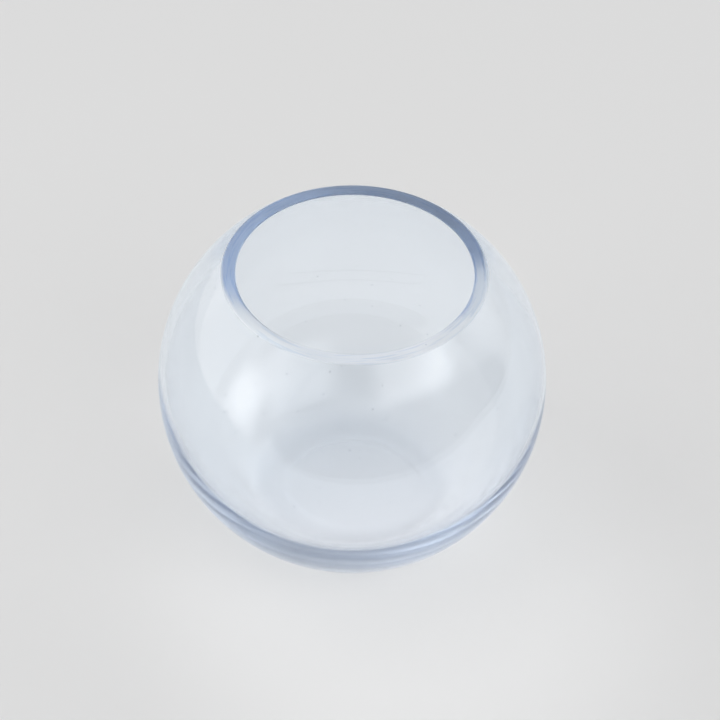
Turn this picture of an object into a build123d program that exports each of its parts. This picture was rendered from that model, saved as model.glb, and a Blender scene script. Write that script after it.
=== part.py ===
# Rose bowl vase: one globe of blown glass, cut flat at the mouth and flattened at the foot.
# The profile is a closed chain of tangent arcs, lines and one smooth curve, turned around the upright axis.
# Lengths are millimetres, +Z is up, and the origin is the centre of the foot on the standing plane.

import os
from math import atan, atan2, cos, degrees, radians, sin, sqrt, tan

from build123d import *

# Sizes of the outside
body_diameter = 150.0  # widest outside diameter of the globe
mouth_diameter = 99.6  # outside diameter where the globe is cut off flat
heel_radius = 26.0  # rounding between the globe and the foot

# Sizes of the glass
side_wall = 3.4  # wall where the inside is widest
inside_rise = 1.0  # how much higher the inside is widest than the outside
rim_width = 5.7  # flat rim between the outer and the inner corner, before they are rounded
floor_thickness = 7.5  # glass between the standing plane and the inside floor
floor_diameter = 63.0  # flat part of the inside floor
inner_heel_radius = 20.0  # rounding between the inside floor and the inside wall

# Sizes of the worked edges and of the pushed-up base
outer_rim_round = 2.4  # polished outer corner of the rim
inner_rim_round = 0.4  # polished inner corner of the rim
punt_diameter = 55.0  # pushed-up middle of the base, half way up its step
punt_height = 0.45  # how far the middle of the base stands clear of the table
punt_slope = 5.0  # width of the rounded step around it
standing_ring_width = 2.0  # flat ring around that step, which the bowl stands on

# Step around the pushed-up base: two equal arcs that meet half way up
punt_outer_radius = (punt_diameter + punt_slope) / 2
punt_inner_radius = (punt_diameter - punt_slope) / 2
punt_arc_radius = (punt_slope**2 + punt_height**2) / (4 * punt_height)
punt_turn = degrees(2 * atan(punt_height / punt_slope))

# Outside curve: the heel starts at the standing ring and runs into the globe without a corner
body_radius = body_diameter / 2
mouth_radius = mouth_diameter / 2
foot_radius = punt_outer_radius + standing_ring_width
widest_height = heel_radius + sqrt((body_radius - heel_radius) ** 2 - foot_radius**2)
rim_rise = sqrt(body_radius**2 - mouth_radius**2)
overall_height = widest_height + rim_rise
heel_angle = degrees(atan2(heel_radius - widest_height, foot_radius))
mouth_angle = degrees(atan2(rim_rise, mouth_radius))

# Inside curve above its widest level: upright there, and parallel to the outside where it meets the rim.
# Its two handles have the length that would make a round arc of the same turn.
inside_radius = body_radius - side_wall
inside_height = widest_height + inside_rise
lip_radius = mouth_radius - rim_width
handle_length = inside_radius * tan(radians(mouth_angle) / 4) * 4 / 3
inside_handle = (inside_radius, inside_height + handle_length)
lip_handle = (
    lip_radius + handle_length * sin(radians(mouth_angle)),
    overall_height - handle_length * cos(radians(mouth_angle)),
)

# Inside curve below its widest level: one arc that thickens the wall, then the inner heel
floor_radius = floor_diameter / 2
heel_drop = inside_height - floor_thickness - inner_heel_radius
heel_reach = inside_radius - floor_radius
lower_radius = (heel_reach**2 + heel_drop**2 - inner_heel_radius**2) / (2 * (heel_reach - inner_heel_radius))
lower_offset = inside_radius - lower_radius
inner_heel_angle = degrees(atan2(-heel_drop, floor_radius - lower_offset))

# The bowl
with BuildPart() as glass_bowl:
    with BuildSketch(Plane.XZ):
        with BuildLine():
            Line((0, punt_height), (punt_inner_radius, punt_height))
            CenterArc((punt_inner_radius, punt_height - punt_arc_radius), punt_arc_radius, 90, -punt_turn)
            CenterArc((punt_outer_radius, punt_arc_radius), punt_arc_radius, -90, -punt_turn)
            Line((punt_outer_radius, 0), (foot_radius, 0))
            CenterArc((foot_radius, heel_radius), heel_radius, -90, 90 + heel_angle)
            CenterArc((0, widest_height), body_radius, heel_angle, mouth_angle - heel_angle)
            Line((mouth_radius, overall_height), (lip_radius, overall_height))
            Bezier(
                (inside_radius, inside_height),
                inside_handle,
                lip_handle,
                (lip_radius, overall_height),
            )
            CenterArc((lower_offset, inside_height), lower_radius, inner_heel_angle, -inner_heel_angle)
            CenterArc(
                (floor_radius, floor_thickness + inner_heel_radius),
                inner_heel_radius,
                -90,
                90 + inner_heel_angle,
            )
            Line((floor_radius, floor_thickness), (0, floor_thickness))
            Line((0, floor_thickness), (0, punt_height))
        make_face()
    revolve(axis=Axis.Z)
    # The cut rim is ground flat and its two corners are polished round
    rim_corners = glass_bowl.edges().filter_by(GeomType.CIRCLE).group_by(Axis.Z)[-1]
    fillet(rim_corners.sort_by(SortBy.RADIUS)[-1], outer_rim_round)
    rim_corners = glass_bowl.edges().filter_by(GeomType.CIRCLE).group_by(Axis.Z)[-1]
    fillet(rim_corners.sort_by(SortBy.RADIUS)[0], inner_rim_round)
glass_bowl.part.label = "glass_bowl"

# Write the piece
os.makedirs("parts", exist_ok=True)
export_step(glass_bowl.part, "parts/glass_bowl.step")
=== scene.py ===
import bpy
import numpy as np
from mathutils import Matrix, Vector


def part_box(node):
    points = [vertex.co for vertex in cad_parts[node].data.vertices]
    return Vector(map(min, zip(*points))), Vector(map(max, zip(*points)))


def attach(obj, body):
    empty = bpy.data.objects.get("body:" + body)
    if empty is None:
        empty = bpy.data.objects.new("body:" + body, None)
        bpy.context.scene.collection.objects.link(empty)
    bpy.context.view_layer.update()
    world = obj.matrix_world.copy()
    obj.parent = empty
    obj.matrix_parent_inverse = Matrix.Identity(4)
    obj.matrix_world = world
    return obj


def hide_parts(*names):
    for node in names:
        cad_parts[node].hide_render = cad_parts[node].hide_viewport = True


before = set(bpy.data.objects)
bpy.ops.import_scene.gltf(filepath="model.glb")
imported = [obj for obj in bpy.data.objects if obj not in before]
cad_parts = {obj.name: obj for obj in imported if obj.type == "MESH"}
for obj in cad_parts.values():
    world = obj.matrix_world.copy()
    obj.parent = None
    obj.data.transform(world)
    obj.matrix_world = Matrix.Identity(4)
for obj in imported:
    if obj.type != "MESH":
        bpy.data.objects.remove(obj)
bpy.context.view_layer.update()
scene = bpy.context.scene

# The camera looks down on the bowl from in front, through a long lens that keeps the globe nearly round.
# It leans a little to one side, and the bowl sits a little left of and below the middle of the frame.
frame_pixels = 720.0
frame_middle = 0.5
sensor_width = 36.0  # millimetres, as the lens length is
lens_length = 140.0
view_distance = 1.0852
view_elevation = np.radians(44.12)
view_lean = np.radians(1.5)
aim_height = 0.0631
aim_pixel_across = 352.2
aim_pixel_down = 379.1
right_angle = np.pi / 2
matrix_rows = 4

camera_data = bpy.data.cameras.new("camera")
camera_data.sensor_width = sensor_width
camera_data.lens = lens_length
camera_data.shift_x = frame_middle - aim_pixel_across / frame_pixels
camera_data.shift_y = aim_pixel_down / frame_pixels - frame_middle
camera = bpy.data.objects.new("camera", camera_data)
scene.collection.objects.link(camera)
standing_back = -view_distance * np.cos(view_elevation)
standing_up = aim_height + view_distance * np.sin(view_elevation)
looking_down = Matrix.Rotation(right_angle - view_elevation, matrix_rows, "X")
leaning = Matrix.Rotation(view_lean, matrix_rows, "Z")
camera.matrix_world = Matrix.Translation((0.0, standing_back, standing_up)) @ looking_down @ leaning
scene.camera = camera
scene.view_settings.view_transform = "Standard"

# The glass bowl is one bubble of soda glass with a faint blue tint, blown round and flattened at the foot.
# Its top is cut off flat, ground and polished at both corners, and its wall thickens on the way down.
# The middle of the base is pushed up a little, so that the bowl stands on a narrow ring.
lowest_corner, highest_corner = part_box("glass_bowl")
body_radius = (highest_corner.x - lowest_corner.x) / 2
mouth_radius = 0.0498  # outside, where the globe is cut off flat
heel_radius = 0.026  # rounding between the globe and the foot
side_wall = 0.0034  # wall where the inside is widest
inside_rise = 0.001  # how much higher the inside is widest than the outside
rim_width = 0.0057  # flat rim between the outer and the inner corner, before they are rounded
floor_thickness = 0.0075  # glass between the standing plane and the inside floor
floor_radius = 0.0315  # flat part of the inside floor
inner_heel_radius = 0.020  # rounding between the inside floor and the inside wall
outer_rim_round = 0.0024  # polished outer corner of the rim
inner_rim_round = 0.0004  # polished inner corner of the rim
punt_radius = 0.0275  # pushed-up middle of the base, half way up its step
punt_height = 0.00045  # how far the middle of the base stands clear of the table
punt_slope = 0.005  # width of the rounded step around it
standing_ring_width = 0.002  # flat ring around that step, which the bowl stands on

# Step around the pushed-up base: two equal arcs that meet half way up
punt_inner = punt_radius - punt_slope / 2
punt_outer = punt_radius + punt_slope / 2
punt_arc = (punt_slope**2 + punt_height**2) / (4 * punt_height)
punt_turn = 2 * np.arctan(punt_height / punt_slope)

# Outside: the heel starts at the standing ring and runs into the globe without a corner
foot_radius = punt_outer + standing_ring_width
widest_level = heel_radius + np.sqrt((body_radius - heel_radius) ** 2 - foot_radius**2)
rim_rise = np.sqrt(body_radius**2 - mouth_radius**2)
rim_level = widest_level + rim_rise
heel_angle = np.arctan2(heel_radius - widest_level, foot_radius)
heel_top = heel_radius + heel_radius * np.sin(heel_angle)
mouth_angle = np.arctan2(rim_rise, mouth_radius)

# Inside above its widest level: one smooth curve, upright there and parallel to the outside at the lip.
# Its two handles have the length that would make a round arc of the same turn.
inside_radius = body_radius - side_wall
inside_level = widest_level + inside_rise
lip = np.array([mouth_radius - rim_width, rim_level])
curve_reach = inside_radius * np.tan(mouth_angle / 4) * 4 / 3
lip_handle = lip + curve_reach * np.array([np.sin(mouth_angle), -np.cos(mouth_angle)])
inside_handle = (inside_radius, inside_level + curve_reach)

# Inside below its widest level: one arc that thickens the wall, then the inner heel
inner_heel_level = floor_thickness + inner_heel_radius
heel_drop = inside_level - floor_thickness - inner_heel_radius
heel_reach = inside_radius - floor_radius
lower_radius = (heel_reach**2 + heel_drop**2 - inner_heel_radius**2) / (2 * (heel_reach - inner_heel_radius))
lower_offset = inside_radius - lower_radius
inner_heel_angle = np.arctan2(-heel_drop, floor_radius - lower_offset)

# Polished corners of the rim: each arc touches the flat of the rim and the wall beside it.
# Near the lip the smooth curve is taken as straight, and its share grows by one in three handles' length.
outer_round_level = rim_level - outer_rim_round
outer_round_rise = rim_rise - outer_rim_round
outer_round_reach = np.sqrt((body_radius - outer_rim_round) ** 2 - outer_round_rise**2)
outer_round_angle = np.arctan2(outer_round_rise, outer_round_reach)
inner_round_level = rim_level - inner_rim_round
inner_round_run = inner_rim_round / np.tan((right_angle - mouth_angle) / 2)
inner_round_reach = lip[0] + inner_round_run
inner_round_angle = np.pi + mouth_angle
curve_end = 1.0 - inner_round_run / (3 * curve_reach)


def straight(start, end, points):
    """Points of a straight run of the profile: start plus an even share of the way to end."""
    share = np.linspace(0.0, 1.0, points)[:, None]
    return np.asarray(start) + share * (np.asarray(end) - np.asarray(start))


def bend(reach, level, radius, start, end, points):
    """Points of a round run: the centre (reach, level) plus the radius times the angle's cosine and sine."""
    angle = np.linspace(start, end, points)
    return np.stack([reach + radius * np.cos(angle), level + radius * np.sin(angle)], axis=1)


def curve(start, start_handle, end_handle, end, start_share, end_share, points):
    """Points of a smooth run that two handles pull: the four places, weighted by the terms of
    (rest + share) cubed, where the rest is one minus the share."""
    share = np.linspace(start_share, end_share, points)[:, None]
    rest = 1.0 - share
    ends = rest**3 * np.asarray(start) + share**3 * np.asarray(end)
    start_pull = 3 * rest**2 * share * np.asarray(start_handle)
    end_pull = 3 * rest * share**2 * np.asarray(end_handle)
    return ends + start_pull + end_pull


def joined(runs):
    """One profile from runs that meet end to end: each run gives all its points but the last."""
    return np.concatenate([run[:-1] for run in runs] + [runs[-1][-1:]])


step_points = 8
flat_points = 16
rim_points = 16
heel_points = 32
inside_points = 48
globe_points = 96
outside_profile = joined([
    straight((0.0, punt_height), (punt_inner, punt_height), flat_points),
    bend(punt_inner, punt_height - punt_arc, punt_arc, right_angle, right_angle - punt_turn, step_points),
    bend(punt_outer, punt_arc, punt_arc, -right_angle - punt_turn, -right_angle, step_points),
    straight((punt_outer, 0.0), (foot_radius, 0.0), step_points),
    bend(foot_radius, heel_radius, heel_radius, -right_angle, heel_angle, heel_points),
    bend(0.0, widest_level, body_radius, heel_angle, outer_round_angle, globe_points),
    bend(outer_round_reach, outer_round_level, outer_rim_round, outer_round_angle, right_angle, rim_points),
    straight((outer_round_reach, rim_level), (inner_round_reach, rim_level), flat_points),
])
inside_profile = joined([
    bend(inner_round_reach, inner_round_level, inner_rim_round, right_angle, inner_round_angle, step_points),
    curve((inside_radius, inside_level), inside_handle, lip_handle, lip, curve_end, 0.0, inside_points),
    bend(lower_offset, inside_level, lower_radius, 0.0, inner_heel_angle, inside_points),
    bend(floor_radius, inner_heel_level, inner_heel_radius, inner_heel_angle, -right_angle, heel_points),
    straight((floor_radius, floor_thickness), (0.0, floor_thickness), flat_points),
])
bowl_profile = joined([outside_profile, inside_profile])

# Share of the way down the inside, from the lip to the middle of the floor, and nothing all over the outside
inside_steps = np.linalg.norm(np.diff(inside_profile, axis=0, prepend=inside_profile[:1]), axis=1)
inside_way = np.cumsum(inside_steps)
inside_share = np.concatenate([np.zeros(len(outside_profile) - 1), inside_way / inside_way[-1]])


def turned(profile, columns):
    """Rings of points from a profile turned around the upright axis: x is the reach times the cosine of the
    turn, y is the reach times its sine, and z is the level."""
    around = np.arange(columns) * 2 * np.pi / columns
    reach = profile[:, 0][:, None]
    level = profile[:, 1][:, None]
    return np.stack([reach * np.cos(around), reach * np.sin(around), level + 0.0 * around], axis=2)


columns_around = 288
inside_slide = 0.0005  # how far the inside sits off the middle, half way down its wall
foot_slide = 0.0018  # how far the foot sits off the middle, at the standing plane
ripple_height = 0.00002
ripples_around = (5, 3)  # waves in one turn around the bowl
ripples_down = (9.0, -21.0)  # how far each wave winds on its way down the inside, in radians


def blown_unevenly(rings, share):
    """Rings of the bowl moved as hand blowing moves them: the inside slides sideways and ripples, and the
    foot slides. The slide and the ripples of the inside fade to nothing at the lip and at the middle of the
    floor, with the square of the sine of the share. The ripple is a sum of waves that wind down around the
    bowl. The slide of the foot fades from the standing plane to the top of the heel, as a square."""
    inside_fade = np.sin(np.pi * share)[:, None] ** 2
    around = np.arctan2(rings[:, :, 1], rings[:, :, 0])
    waves = zip(ripples_around, ripples_down)
    ripple = sum(np.sin(turns * around + rate * share[:, None]) for turns, rate in waves)
    outwards = ripple_height * inside_fade * ripple
    below_heel_top = np.clip(1.0 - rings[:, :, 2] / heel_top, 0.0, 1.0)
    foot_fade = np.where(share[:, None] == 0.0, below_heel_top**2, 0.0)
    moved = rings.copy()
    moved[:, :, 0] += inside_slide * inside_fade + outwards * np.cos(around) + foot_slide * foot_fade
    moved[:, :, 1] += outwards * np.sin(around)
    return moved


def closed_mesh(name, rings):
    """A mesh over rings of points: four-sided faces between neighbouring rings, with the last column joined
    to the first. The first and the last ring lie on the axis, so each becomes one point with a fan of
    triangles around it."""
    columns = rings.shape[1]
    points = np.concatenate([rings[1:-1].reshape(-1, 3), rings[0, :1], rings[-1, :1]])
    here = np.arange(len(rings) - 2)[:, None] * columns + np.arange(columns)
    beside = np.roll(here, -1, axis=1)
    quads = np.stack([here[:-1], beside[:-1], beside[1:], here[1:]], axis=2).reshape(-1, 4)
    first_pole = np.full(columns, here.size)
    first_fan = np.stack([first_pole, beside[0], here[0]], axis=1)
    last_fan = np.stack([here[-1], beside[-1], first_pole + 1], axis=1)
    mesh = bpy.data.meshes.new(name)
    mesh.from_pydata(points.tolist(), [], first_fan.tolist() + quads.tolist() + last_fan.tolist())
    mesh.polygons.foreach_set("use_smooth", np.ones(len(mesh.polygons), dtype=bool))
    return mesh


# Places of the colour sockets on a Mix node, whose names repeat for its other kinds of value
mix_share = 0
mix_first = 6
mix_second = 7
mix_result = 2


def fed(tree, socket, value):
    """Feeds a socket of a node tree: with a link from another socket, or else with a plain value."""
    if isinstance(value, bpy.types.NodeSocket):
        tree.links.new(value, socket)
    else:
        socket.default_value = value


def worked(tree, operation, first, second):
    """One step of arithmetic in a node tree. First and second are sockets or plain numbers."""
    step = tree.nodes.new("ShaderNodeMath")
    step.operation = operation
    fed(tree, step.inputs[0], first)
    fed(tree, step.inputs[1], second)
    return step.outputs["Value"]


def graded(tree, source, start, end, full=1.0, pace="SMOOTHSTEP"):
    """A value that grows with its source: nothing at start, and full at end. Its growth starts and ends
    softly, and with the pace LINEAR it is even."""
    grade = tree.nodes.new("ShaderNodeMapRange")
    grade.interpolation_type = pace
    grade.inputs["From Min"].default_value = start
    grade.inputs["From Max"].default_value = end
    grade.inputs["To Max"].default_value = full
    fed(tree, grade.inputs["Value"], source)
    return grade.outputs["Result"]


def blended(tree, share, first, second):
    """A colour between two: the first where the share is nothing, and the second where it is one."""
    blend = tree.nodes.new("ShaderNodeMix")
    blend.data_type = "RGBA"
    fed(tree, blend.inputs[mix_share], share)
    fed(tree, blend.inputs[mix_first], first)
    fed(tree, blend.inputs[mix_second], second)
    return blend.outputs[mix_result]


def pointed(tree, operation, first, second=None):
    """One step of arithmetic on places or directions in a node tree. A length, a distance or a dot product
    gives a number, and every other step gives a place or a direction."""
    step = tree.nodes.new("ShaderNodeVectorMath")
    step.operation = operation
    fed(tree, step.inputs[0], first)
    if second is not None:
        fed(tree, step.inputs[1], second)
    gives_number = operation in ("LENGTH", "DISTANCE", "DOT_PRODUCT")
    return step.outputs["Value" if gives_number else "Vector"]


# Clear glass that takes some red and green out of light, the more the longer its way through the glass
glass_tint = (0.985, 0.993, 1.0, 1.0)
glass_bend = 1.52  # refractive index of soda glass
see_through = 1.0
absorbed_colour = (0.19, 0.38, 0.64, 1.0)
absorbed_per_metre = 4.0

glass = bpy.data.materials.new("pale_blue_glass")
glass.use_nodes = True
glass_tree = glass.node_tree
glass_shader = glass_tree.nodes["Principled BSDF"]
glass_shader.inputs["IOR"].default_value = glass_bend
glass_shader.inputs["Transmission Weight"].default_value = see_through
glass_depth = glass_tree.nodes.new("ShaderNodeVolumeAbsorption")
glass_depth.inputs["Color"].default_value = absorbed_colour
glass_depth.inputs["Density"].default_value = absorbed_per_metre
fed(glass_tree, glass_tree.nodes["Material Output"].inputs["Volume"], glass_depth.outputs["Volume"])
glass_place = glass_tree.nodes.new("ShaderNodeTexCoord").outputs["Object"]
glass_axes = glass_tree.nodes.new("ShaderNodeSeparateXYZ")
fed(glass_tree, glass_axes.inputs["Vector"], glass_place)
glass_height = glass_axes.outputs["Z"]

# The ground rim is rough, the wall just below it has a light haze, and the heel is lightly scuffed
ground_depth = 0.0006
ground_fade = 0.0003
ground_roughness = 0.28
haze_depth = 0.012
haze_fade = 0.008
haze_roughness = 0.07
scuff_start = 0.036
scuff_end = 0.024
scuff_roughness = 0.10
ground_start = rim_level - ground_depth
ground_end = ground_start + ground_fade
haze_start = rim_level - haze_depth
haze_end = haze_start + haze_fade
ground_rim = graded(glass_tree, glass_height, ground_start, ground_end, ground_roughness, "LINEAR")
hazy_rim = graded(glass_tree, glass_height, haze_start, haze_end, haze_roughness, "LINEAR")
scuffed_heel = graded(glass_tree, glass_height, scuff_start, scuff_end, scuff_roughness, "LINEAR")
rim_roughness = worked(glass_tree, "MAXIMUM", ground_rim, hazy_rim)
all_roughness = worked(glass_tree, "MAXIMUM", rim_roughness, scuffed_heel)
fed(glass_tree, glass_shader.inputs["Roughness"], all_roughness)


def winding_streaks():
    """A node group of long streaks that wind around the upright axis. Noise is read at the direction around
    the axis, times a small number, and at the reach less the height, times a large one, so that it changes
    slowly along a streak and fast across it."""
    sideways = (1.0, 1.0, 0.0)
    noise_scale = 1.0
    noise_detail = 2.0
    group = bpy.data.node_groups.new("winding_streaks", "ShaderNodeTree")
    group.interface.new_socket("Place", in_out="INPUT", socket_type="NodeSocketVector")
    group.interface.new_socket("Around", in_out="INPUT", socket_type="NodeSocketFloat")
    group.interface.new_socket("Across", in_out="INPUT", socket_type="NodeSocketFloat")
    group.interface.new_socket("Streak", in_out="OUTPUT", socket_type="NodeSocketFloat")
    given = group.nodes.new("NodeGroupInput").outputs
    axes = group.nodes.new("ShaderNodeSeparateXYZ")
    fed(group, axes.inputs["Vector"], given["Place"])
    flat = pointed(group, "MULTIPLY", given["Place"], sideways)
    around = pointed(group, "MULTIPLY", pointed(group, "NORMALIZE", flat), given["Around"])
    slant = worked(group, "SUBTRACT", pointed(group, "LENGTH", flat), axes.outputs["Z"])
    across = group.nodes.new("ShaderNodeCombineXYZ")
    fed(group, across.inputs["Z"], worked(group, "MULTIPLY", slant, given["Across"]))
    noise = group.nodes.new("ShaderNodeTexNoise")
    noise.inputs["Scale"].default_value = noise_scale
    noise.inputs["Detail"].default_value = noise_detail
    fed(group, noise.inputs["Vector"], pointed(group, "ADD", around, across.outputs["Vector"]))
    fed(group, group.nodes.new("NodeGroupOutput").inputs["Streak"], noise.outputs["Fac"])
    return group


def streaks_at(around, across):
    """The winding streaks on the glass, with so many changes around it and so many in a metre across."""
    streaks = glass_tree.nodes.new("ShaderNodeGroup")
    streaks.node_tree = winding_group
    streaks.inputs["Around"].default_value = around
    streaks.inputs["Across"].default_value = across
    fed(glass_tree, streaks.inputs["Place"], glass_place)
    return streaks.outputs["Streak"]


# Grinding leaves fine turned lines on the rim. Along the higher ones the glass colour is painted darker,
# as painted shade for the streaky light of the ground rim.
# Blowing leaves faint streaks on the wall.
winding_group = winding_streaks()
rim_streak_height = 0.00007
rim_streaks_around = 3.0
rim_streaks_across = 1000.0
rim_line_shade_colour = (0.74, 0.80, 0.88, 1.0)
rim_line_start = 0.52
rim_line_end = 0.60
wall_streak_height = 0.000008
wall_streaks_around = 2.5
wall_streaks_across = 130.0
rim_share = graded(glass_tree, glass_height, ground_start, ground_end)
rim_streak = streaks_at(rim_streaks_around, rim_streaks_across)
rim_relief = worked(glass_tree, "MULTIPLY", rim_streak, rim_share)
rim_bump = worked(glass_tree, "MULTIPLY", rim_relief, rim_streak_height)
# Painted shade: the glass colour is darker along the highest of the rim's lines
rim_ridges = graded(glass_tree, rim_streak, rim_line_start, rim_line_end)
rim_line_shade_share = worked(glass_tree, "MULTIPLY", rim_ridges, rim_share)
tint_and_rim_shade = blended(glass_tree, rim_line_shade_share, glass_tint, rim_line_shade_colour)
wall_streak = streaks_at(wall_streaks_around, wall_streaks_across)
wall_bump = worked(glass_tree, "MULTIPLY", wall_streak, wall_streak_height)

# The underside is faintly mottled from being set down while soft, more towards the left
mottle_height = 0.00007
mottle_scale = 320.0
mottle_top = 0.0012
mottle_full = 0.0005
mottle_right = 0.030
mottle_left = -0.025
mottle = glass_tree.nodes.new("ShaderNodeTexNoise")
mottle.inputs["Scale"].default_value = mottle_scale
fed(glass_tree, mottle.inputs["Vector"], glass_place)
foot_share = worked(
    glass_tree,
    "MULTIPLY",
    graded(glass_tree, glass_height, mottle_top, mottle_full),
    graded(glass_tree, glass_axes.outputs["X"], mottle_right, mottle_left),
)
foot_relief = worked(glass_tree, "MULTIPLY", mottle.outputs["Fac"], foot_share)
foot_bump = worked(glass_tree, "MULTIPLY", foot_relief, mottle_height)

# The heights of the lines, streaks and mottle are metres, so the bump takes them as they are
metres = 1.0
upper_bump = worked(glass_tree, "ADD", rim_bump, wall_bump)
glass_bump = glass_tree.nodes.new("ShaderNodeBump")
glass_bump.inputs["Distance"].default_value = metres
fed(glass_tree, glass_bump.inputs["Height"], worked(glass_tree, "ADD", upper_bump, foot_bump))
fed(glass_tree, glass_shader.inputs["Normal"], glass_bump.outputs["Normal"])

# A few seeds and dust specks: small round spots in some of the cells of a random pattern
speck_colour = (0.66, 0.69, 0.73, 1.0)
speck_scale = 260.0
speck_edge = 0.13
speck_core = 0.065
speck_choice_above = 0.86
specks = glass_tree.nodes.new("ShaderNodeTexVoronoi")
specks.inputs["Scale"].default_value = speck_scale
fed(glass_tree, specks.inputs["Vector"], glass_place)
speck_choice = glass_tree.nodes.new("ShaderNodeSeparateXYZ")
fed(glass_tree, speck_choice.inputs["Vector"], specks.outputs["Color"])
speck_kept = worked(glass_tree, "GREATER_THAN", speck_choice.outputs["X"], speck_choice_above)
speck_spot = graded(glass_tree, specks.outputs["Distance"], speck_edge, speck_core)
speck_share = worked(glass_tree, "MULTIPLY", speck_spot, speck_kept)
speck_blend = blended(glass_tree, speck_share, tint_and_rim_shade, speck_colour)
fed(glass_tree, glass_shader.inputs["Base Color"], speck_blend)

bowl_rings = blown_unevenly(turned(bowl_profile, columns_around), inside_share)
bowl = bpy.data.objects.new("rose_bowl_glass", closed_mesh("rose_bowl_glass", bowl_rings))
scene.collection.objects.link(bowl)
bowl.data.materials.append(glass)
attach(bowl, "root")
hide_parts("glass_bowl")

# The floor is a flat sheet of pale paper, just clear of the foot.
# It ends a third of a metre in front of the bowl's middle, and past it the glass shows the dark of the room.
# A pool of light is painted on it in front at the right, where the bowl gathers light. Seen through the
# glass, it is painted paler and a little bluer, as painted light for the light that the glass lets through.
sheet_level = -0.0002
sheet_front = -0.36
sheet_back = 1.6
sheet_side = 1.1
sheet_points = 24
sheet_colour = (0.76, 0.76, 0.76, 1.0)
# Seen through the glass the paper is painted paler and bluer, as painted light for what the glass lets
# through
sheet_in_glass_painted_light_colour = (0.785, 0.818, 0.852, 1.0)
# A painted pool of light on the paper in front at the right: full within one radius, and gone at the reach
painted_pool_colour = (0.86, 0.86, 0.86, 1.0)
painted_pool_in_glass_colour = (0.91, 0.918, 0.94, 1.0)
painted_pool_centre = (0.030, -0.060, 0.0)
painted_pool_radius = 0.040
painted_pool_reach = 0.130
sheet_roughness = 0.9
sheet_shine = 0.0


def drawn_mesh(name, profile, side):
    """A profile drawn sideways: y and z come from the profile, and x runs from minus side to side."""
    left = np.column_stack([np.full(len(profile), -side), profile])
    right = np.column_stack([np.full(len(profile), side), profile])
    here = np.arange(len(profile) - 1)
    quads = np.stack([here, here + len(profile), here + len(profile) + 1, here + 1], axis=1)
    mesh = bpy.data.meshes.new(name)
    mesh.from_pydata(np.concatenate([left, right]).tolist(), [], quads.tolist())
    mesh.polygons.foreach_set("use_smooth", np.ones(len(mesh.polygons), dtype=bool))
    return mesh


paper = bpy.data.materials.new("studio_paper")
paper.use_nodes = True
paper_tree = paper.node_tree
paper_shader = paper_tree.nodes["Principled BSDF"]
paper_shader.inputs["Roughness"].default_value = sheet_roughness
paper_shader.inputs["Specular IOR Level"].default_value = sheet_shine
paper_place = paper_tree.nodes.new("ShaderNodeTexCoord").outputs["Object"]
paper_seen = paper_tree.nodes.new("ShaderNodeLightPath").outputs["Is Camera Ray"]
# The painted pool of light fades with the distance from its centre, and glass rays see paler, bluer copies
paper_way = pointed(paper_tree, "DISTANCE", paper_place, painted_pool_centre)
painted_pool_share = graded(paper_tree, paper_way, painted_pool_reach, painted_pool_radius)
paper_plain_colour = blended(paper_tree, paper_seen, sheet_in_glass_painted_light_colour, sheet_colour)
paper_painted_pool_colour = blended(paper_tree, paper_seen, painted_pool_in_glass_colour, painted_pool_colour)
paper_colour = blended(paper_tree, painted_pool_share, paper_plain_colour, paper_painted_pool_colour)
fed(paper_tree, paper_shader.inputs["Base Color"], paper_colour)

sheet_profile = straight((sheet_front, sheet_level), (sheet_back, sheet_level), sheet_points)
sheet = bpy.data.objects.new("studio_floor", drawn_mesh("studio_floor", sheet_profile, sheet_side))
scene.collection.objects.link(sheet)
sheet.data.materials.append(paper)

# The room is painted in soft patches of light and dark, which the glass shows on its faces and in its edges.
# It is bright at the left, bright and dim in turn at the right, dim behind and dark in front.
# The camera itself sees it as pale as the paper.
far_colour = (0.62, 0.62, 0.62, 1.0)
pale_colour = (0.71, 0.71, 0.71, 1.0)

# Each patch has a colour, the direction of its middle, and the nearness at which it starts and is full
bright_colour = (1.48, 1.48, 1.48, 1.0)
bright_direction = (-0.819, 0.219, 0.530)
bright_edges = (0.17, 0.97)
back_colour = (0.57, 0.57, 0.57, 1.0)
back_direction = (0.20, 0.88, 0.43)
back_edges = (0.74, 0.97)
side_colour = (1.2, 1.2, 1.2, 1.0)
side_direction = (0.75, 0.433, 0.50)
side_edges = (0.86, 0.97)
right_colour = (0.34, 0.34, 0.34, 1.0)
right_direction = (0.633, -0.112, 0.766)
right_edges = (0.82, 0.96)
glow_colour = (1.75, 1.75, 1.75, 1.0)
glow_direction = (0.557, -0.557, 0.616)
glow_edges = (0.84, 0.98)
dim_colour = (0.16, 0.16, 0.16, 1.0)
dim_direction = (-0.226, -0.788, 0.573)
dim_edges = (0.82, 0.97)
low_colour = (0.07, 0.07, 0.07, 1.0)
low_direction = (0.5, -0.866, 0.0)
low_edges = (0.22, 0.32)
low_height = 7.5

room = bpy.data.worlds.new("room")
room.use_nodes = True
scene.world = room
room_tree = room.node_tree
room_direction = room_tree.nodes.new("ShaderNodeTexCoord").outputs["Generated"]


def room_patch(below, colour, direction, edges, height=1.0):
    """Paints a patch of the room: the nearer a direction is to the patch's, the more of its colour shows.
    A direction's rise is first taken times the height number, so that a large one makes the patch a low
    band."""
    raised = pointed(room_tree, "MULTIPLY", room_direction, (1.0, 1.0, height))
    nearness = pointed(room_tree, "DOT_PRODUCT", pointed(room_tree, "NORMALIZE", raised), direction)
    share = graded(room_tree, nearness, *edges)
    return blended(room_tree, share, below, colour)


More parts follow.
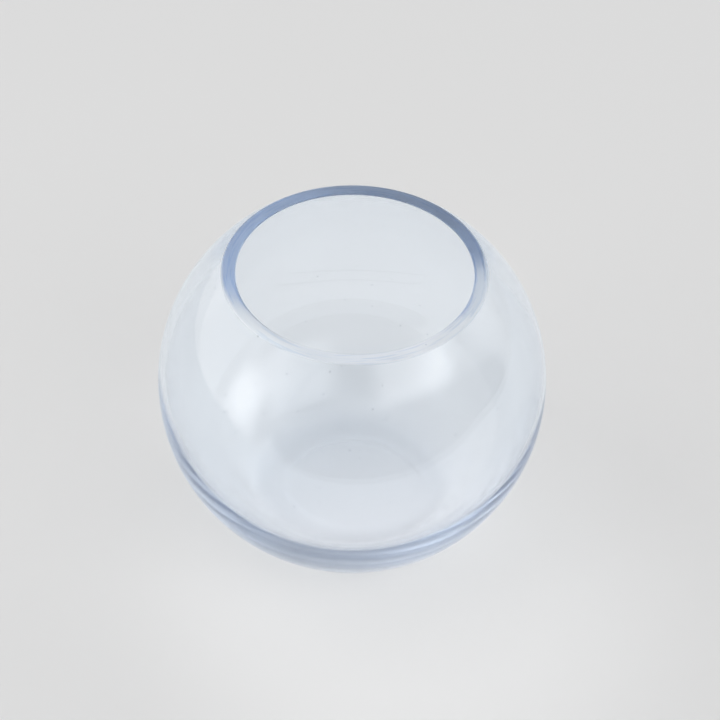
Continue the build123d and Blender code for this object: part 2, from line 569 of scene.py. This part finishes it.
room_bright = room_patch(far_colour, bright_colour, bright_direction, bright_edges)
room_back = room_patch(room_bright, back_colour, back_direction, back_edges)
room_side = room_patch(room_back, side_colour, side_direction, side_edges)
room_right = room_patch(room_side, right_colour, right_direction, right_edges)
room_glow = room_patch(room_right, glow_colour, glow_direction, glow_edges)
room_dim = room_patch(room_glow, dim_colour, dim_direction, dim_edges)
room_low = room_patch(room_dim, low_colour, low_direction, low_edges, low_height)
room_seen = room_tree.nodes.new("ShaderNodeLightPath").outputs["Is Camera Ray"]
room_colour = blended(room_tree, room_seen, room_low, pale_colour)
fed(room_tree, room_tree.nodes["Background"].inputs["Color"], room_colour)

# Light turns many times inside the glass before it comes out, so it is followed for long and kept sharp
light_turns = 128
light_blur = 0.0
scene.cycles.max_bounces = light_turns
scene.cycles.glossy_bounces = light_turns
scene.cycles.transmission_bounces = light_turns
scene.cycles.blur_glossy = light_blur

# One tall soft lamp stands low at the left like a window, brightest in its middle.
# It shows on the front and on the back of the globe.
window_direction = (-0.889, -0.416, 0.186)
window_distance = 1.1
window_width = 0.50
window_height = 0.66
window_power = 2.15


def soft_lamp(name, place, aim, width, height, power):
    """A flat lamp turned from its place towards the aim, whose light fades from its middle to its edges.
    The fade is the product of two bumps, each one minus the square of the way from the middle to the edge.
    Across the lamp a share runs from nothing to one, and the bump is the share times the rest of it, set
    against what that is in the middle."""
    middle = 0.5
    middle_bump = middle * (1.0 - middle)
    lamp_data = bpy.data.lights.new(name, "AREA")
    lamp_data.shape = "RECTANGLE"
    lamp_data.size = width
    lamp_data.size_y = height
    lamp_data.energy = power
    lamp_data.use_nodes = True
    tree = lamp_data.node_tree
    spot = tree.nodes.new("ShaderNodeNewGeometry")
    shares = tree.nodes.new("ShaderNodeSeparateXYZ")
    fed(tree, shares.inputs["Vector"], spot.outputs["Parametric"])
    bumps = []
    for axis in ("X", "Y"):
        rest = worked(tree, "SUBTRACT", 1.0, shares.outputs[axis])
        bumps.append(worked(tree, "MULTIPLY", shares.outputs[axis], rest))
    fade = worked(tree, "MULTIPLY", *bumps)
    fed(tree, tree.nodes["Emission"].inputs["Strength"], worked(tree, "MULTIPLY", fade, middle_bump**-2))
    lamp = bpy.data.objects.new(name, lamp_data)
    turn = (Vector(aim) - Vector(place)).to_track_quat("-Z", "Y").to_matrix().to_4x4()
    lamp.matrix_world = Matrix.Translation(place) @ turn
    scene.collection.objects.link(lamp)


bowl_middle = Vector((0.0, 0.0, widest_level))
window_place = bowl_middle + window_distance * Vector(window_direction)
soft_lamp("window_lamp", window_place, bowl_middle, window_width, window_height, window_power)
